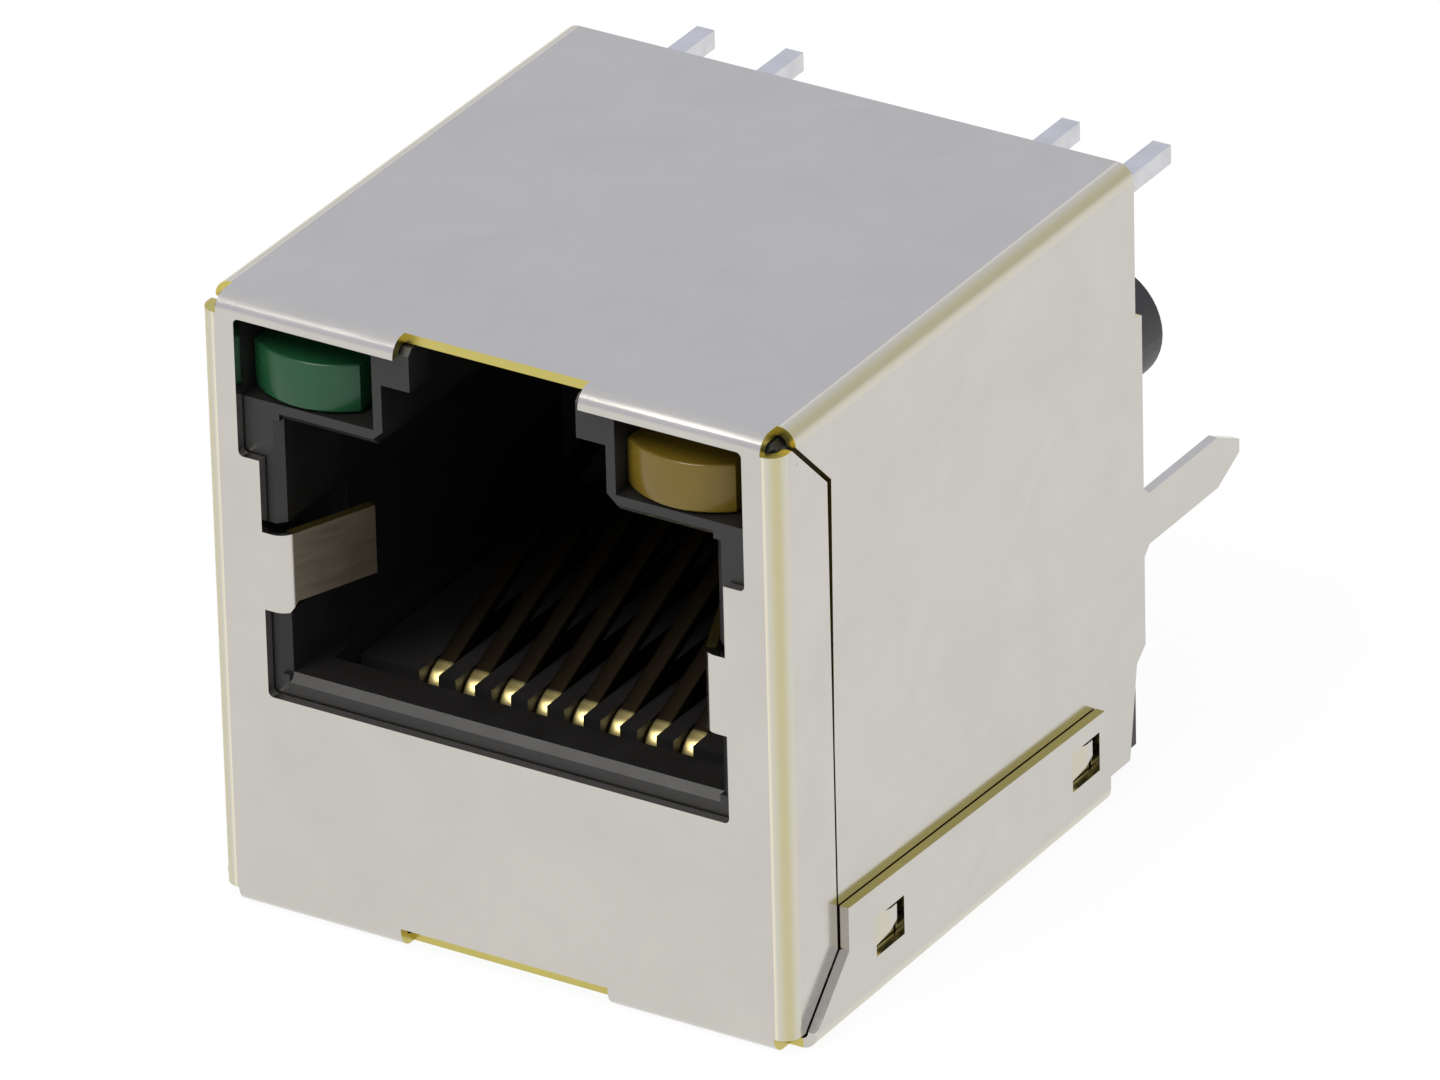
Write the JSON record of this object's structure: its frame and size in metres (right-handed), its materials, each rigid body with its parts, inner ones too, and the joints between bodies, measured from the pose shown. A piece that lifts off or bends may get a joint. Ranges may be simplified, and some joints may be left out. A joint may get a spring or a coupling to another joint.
{
  "type": "rj45 board jack",
  "caption": "Shielded modular jack for a circuit board: folded sheet shell, gold spring contacts in a black housing, and a green and an amber lamp above the plug cavity.",
  "frame": {"origin": "middle of the jack's footprint at the outer face of the bottom plate, on its symmetry plane", "axes": "+X across the jack, -Y towards the plug, +Y towards the circuit board, +Z towards the latch side"},
  "size_m": [0.0166, 0.0212, 0.0164],
  "materials": {
    "plated_sheet": "nickel-plated brass sheet, satin, with bare brass cut edges",
    "black_plastic": "moulded, matt",
    "block_plastic": "moulded, matt",
    "gold_wire": "gold-plated wire, polished",
    "green_lens": "green tinted, diffused",
    "amber_lens": "amber tinted, diffused",
    "tinned_lead": "tinned, satin",
    "green_chip": "polished",
    "amber_chip": "polished"
  },
  "bodies": {
    "root": {"shield": "plated_sheet", "housing": "black_plastic", "contact_block": "block_plastic", "contact_1": "gold_wire", "contact_2": "gold_wire", "contact_3": "gold_wire", "contact_4": "gold_wire", "contact_5": "gold_wire", "contact_6": "gold_wire", "contact_7": "gold_wire", "contact_8": "gold_wire", "green_lens": "green_lens", "green_anode": "tinned_lead", "green_cathode": "tinned_lead", "green_chip": "green_chip", "amber_lens": "amber_lens", "amber_anode": "tinned_lead", "amber_cathode": "tinned_lead", "amber_chip": "amber_chip"}
  },
  "joints": []
}
